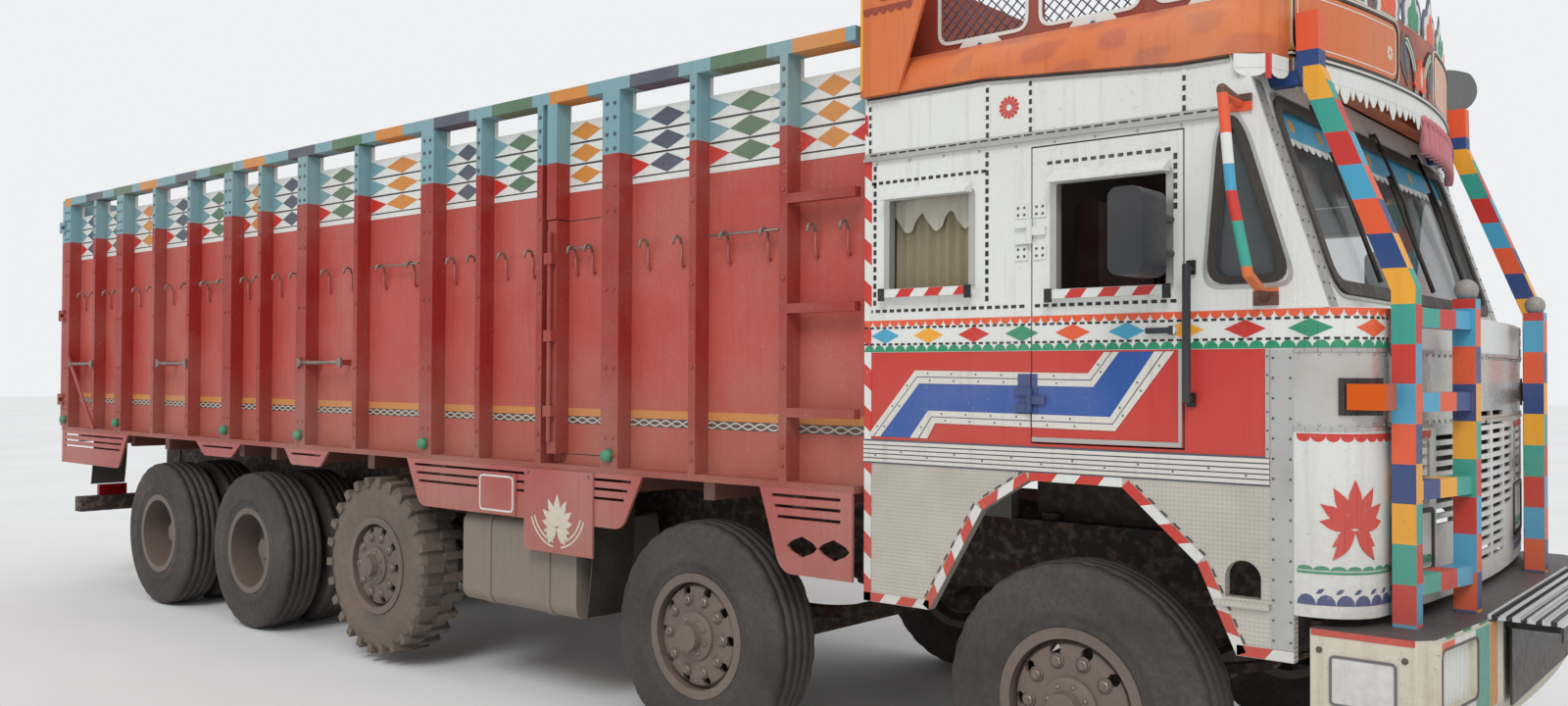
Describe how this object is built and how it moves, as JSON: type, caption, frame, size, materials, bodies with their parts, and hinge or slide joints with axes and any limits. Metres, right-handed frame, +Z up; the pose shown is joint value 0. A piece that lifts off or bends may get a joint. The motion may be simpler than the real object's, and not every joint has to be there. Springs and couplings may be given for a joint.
{
  "type": "decorated five-axle haulage truck",
  "caption": "Rigid haulage truck with a painted cab, roof carrier, guard bars and a high-sided steel load body; wheels roll and steer, and the doors swing.",
  "frame": {"origin": "middle of the whole truck's box, on the ground", "axes": "+X forward, +Y to the truck's left, +Z up"},
  "size_m": [10.7, 3, 3.4],
  "materials": {
    "bumper": "cream paint",
    "cab_back": "white paint",
    "cab_door": "white paint with painted bands",
    "cab_floor": "worn grey paint",
    "cab_front": "white paint",
    "cab_glass": "clear glass",
    "cab_roof": "orange paint",
    "cab_side": "white paint with painted bands",
    "chassis_rails": "dusty dark paint",
    "cross_members": "dusty dark paint",
    "dashboard": "black plastic",
    "engine_block": "oily cast iron",
    "floor_bearers": "dusty dark red paint",
    "front_axle_beams": "dusty forging",
    "front_step": "fluted sheet",
    "front_visor": "orange paint",
    "guard_bars": "painted bands of many colours",
    "headboard": "weathered red paint",
    "knuckle": "dusty forging",
    "lamps": "lamp lenses",
    "leaf_springs": "rusty spring steel",
    "load_floor": "worn red-brown paint",
    "rear_axles": "dusty housing",
    "rear_door": "weathered red paint",
    "rear_underrun": "dark paint",
    "rim": "dusty brown paint",
    "roof_carrier": "red-brown paint",
    "seats": "dark red cover",
    "side_door": "weathered red paint",
    "side_wall": "weathered red paint",
    "tanks_and_battery": "dusty grey paint",
    "tyre": "dusty tyre",
    "valance": "faded red paint"
  },
  "bodies": {
    "truck": {"chassis_rails": "chassis_rails", "cross_members": "cross_members", "engine_block": "engine_block", "leaf_springs": "leaf_springs", "front_axle_beams": "front_axle_beams", "rear_axles": "rear_axles", "tanks_and_battery": "tanks_and_battery", "load_floor": "load_floor", "floor_bearers": "floor_bearers", "side_wall_left": "side_wall", "side_wall_right": "side_wall", "headboard": "headboard", "rear_underrun": "rear_underrun", "valance_left": "valance", "valance_right": "valance", "cab_side_left": "cab_side", "cab_side_right": "cab_side", "cab_back": "cab_back", "cab_floor": "cab_floor", "cab_roof": "cab_roof", "cab_front": "cab_front", "cab_glass": "cab_glass", "seats": "seats", "dashboard": "dashboard", "roof_carrier": "roof_carrier", "front_visor": "front_visor", "bumper": "bumper", "front_step": "front_step", "guard_bars": "guard_bars", "lamps": "lamps"},
    "steered_end_1_left": {"knuckle_1_left": "knuckle"},
    "steered_end_1_right": {"knuckle_1_right": "knuckle"},
    "steered_end_2_left": {"knuckle_2_left": "knuckle"},
    "steered_end_2_right": {"knuckle_2_right": "knuckle"},
    "wheel_1_left": {"tyre_1_left": "tyre", "rim_1_left": "rim"},
    "wheel_1_right": {"tyre_1_right": "tyre", "rim_1_right": "rim"},
    "wheel_2_left": {"tyre_2_left": "tyre", "rim_2_left": "rim"},
    "wheel_2_right": {"tyre_2_right": "tyre", "rim_2_right": "rim"},
    "wheel_3_left": {"tyre_3_left": "tyre", "rim_3_left": "rim"},
    "wheel_3_right": {"tyre_3_right": "tyre", "rim_3_right": "rim"},
    "wheel_4_left": {"tyre_4_left": "tyre", "rim_4_left": "rim"},
    "wheel_4_right": {"tyre_4_right": "tyre", "rim_4_right": "rim"},
    "wheel_5_left": {"tyre_5_left": "tyre", "rim_5_left": "rim"},
    "wheel_5_right": {"tyre_5_right": "tyre", "rim_5_right": "rim"},
    "cab_door_left": {"cab_door_left": "cab_door"},
    "side_door_left": {"side_door_left": "side_door"},
    "rear_door_left": {"rear_door_left": "rear_door"},
    "cab_door_right": {"cab_door_right": "cab_door"},
    "side_door_right": {"side_door_right": "side_door"},
    "rear_door_right": {"rear_door_right": "rear_door"}
  },
  "joints": [
    {"name": "steering_1_left", "type": "hinge", "parent": "truck", "child": "steered_end_1_left", "pos_m": [3.9, 0.905, 0.52], "axis": [0, 0, 1], "range_deg": [-35, 35]},
    {"name": "steering_1_right", "type": "hinge", "parent": "truck", "child": "steered_end_1_right", "pos_m": [3.9, -0.905, 0.52], "axis": [0, 0, 1], "range_deg": [-35, 35]},
    {"name": "steering_2_left", "type": "hinge", "parent": "truck", "child": "steered_end_2_left", "pos_m": [2.023, 0.905, 0.52], "axis": [0, 0, 1], "range_deg": [-26, 26]},
    {"name": "steering_2_right", "type": "hinge", "parent": "truck", "child": "steered_end_2_right", "pos_m": [2.023, -0.905, 0.52], "axis": [0, 0, 1], "range_deg": [-26, 26]},
    {"name": "wheel_spin_1_left", "type": "hinge", "parent": "steered_end_1_left", "child": "wheel_1_left", "pos_m": [3.9, 1.096, 0.52], "axis": [0, 1, 0], "continuous": true},
    {"name": "wheel_spin_1_right", "type": "hinge", "parent": "steered_end_1_right", "child": "wheel_1_right", "pos_m": [3.9, -1.096, 0.52], "axis": [0, 1, 0], "continuous": true},
    {"name": "wheel_spin_2_left", "type": "hinge", "parent": "steered_end_2_left", "child": "wheel_2_left", "pos_m": [2.023, 1.096, 0.52], "axis": [0, 1, 0], "continuous": true},
    {"name": "wheel_spin_2_right", "type": "hinge", "parent": "steered_end_2_right", "child": "wheel_2_right", "pos_m": [2.023, -1.096, 0.52], "axis": [0, 1, 0], "continuous": true},
    {"name": "wheel_spin_3_left", "type": "hinge", "parent": "truck", "child": "wheel_3_left", "pos_m": [-0.613, 1.096, 0.575], "axis": [0, 1, 0], "continuous": true},
    {"name": "wheel_spin_3_right", "type": "hinge", "parent": "truck", "child": "wheel_3_right", "pos_m": [-0.613, -1.096, 0.575], "axis": [0, 1, 0], "continuous": true},
    {"name": "wheel_spin_4_left", "type": "hinge", "parent": "truck", "child": "wheel_4_left", "pos_m": [-2.147, 1.096, 0.52], "axis": [0, 1, 0], "continuous": true},
    {"name": "wheel_spin_4_right", "type": "hinge", "parent": "truck", "child": "wheel_4_right", "pos_m": [-2.147, -1.096, 0.52], "axis": [0, 1, 0], "continuous": true},
    {"name": "wheel_spin_5_left", "type": "hinge", "parent": "truck", "child": "wheel_5_left", "pos_m": [-3.517, 1.096, 0.52], "axis": [0, 1, 0], "continuous": true},
    {"name": "wheel_spin_5_right", "type": "hinge", "parent": "truck", "child": "wheel_5_right", "pos_m": [-3.517, -1.096, 0.52], "axis": [0, 1, 0], "continuous": true},
    {"name": "cab_door_hinge_left", "type": "hinge", "parent": "truck", "child": "cab_door_left", "pos_m": [3.743, 1.234, 2], "axis": [0, 0, 1], "range_deg": [0, 75]},
    {"name": "side_door_hinge_left", "type": "hinge", "parent": "truck", "child": "side_door_left", "pos_m": [1.39, 1.172, 1.9], "axis": [0, 0, -1], "range_deg": [0, 90]},
    {"name": "rear_door_hinge_left", "type": "hinge", "parent": "truck", "child": "rear_door_left", "pos_m": [-5.325, 1.264, 2.17], "axis": [0, 0, -1], "range_deg": [0, 200]},
    {"name": "cab_door_hinge_right", "type": "hinge", "parent": "truck", "child": "cab_door_right", "pos_m": [3.743, -1.234, 2], "axis": [0, 0, -1], "range_deg": [0, 75]},
    {"name": "side_door_hinge_right", "type": "hinge", "parent": "truck", "child": "side_door_right", "pos_m": [1.39, -1.172, 1.9], "axis": [0, 0, 1], "range_deg": [0, 90]},
    {"name": "rear_door_hinge_right", "type": "hinge", "parent": "truck", "child": "rear_door_right", "pos_m": [-5.325, -1.264, 2.17], "axis": [0, 0, 1], "range_deg": [0, 200]}
  ],
  "couplings": [
    {"joint": "steering_1_right", "follows": "steering_1_left", "ratio": 1},
    {"joint": "steering_2_left", "follows": "steering_1_left", "ratio": 0.73},
    {"joint": "steering_2_right", "follows": "steering_1_left", "ratio": 0.73}
  ]
}
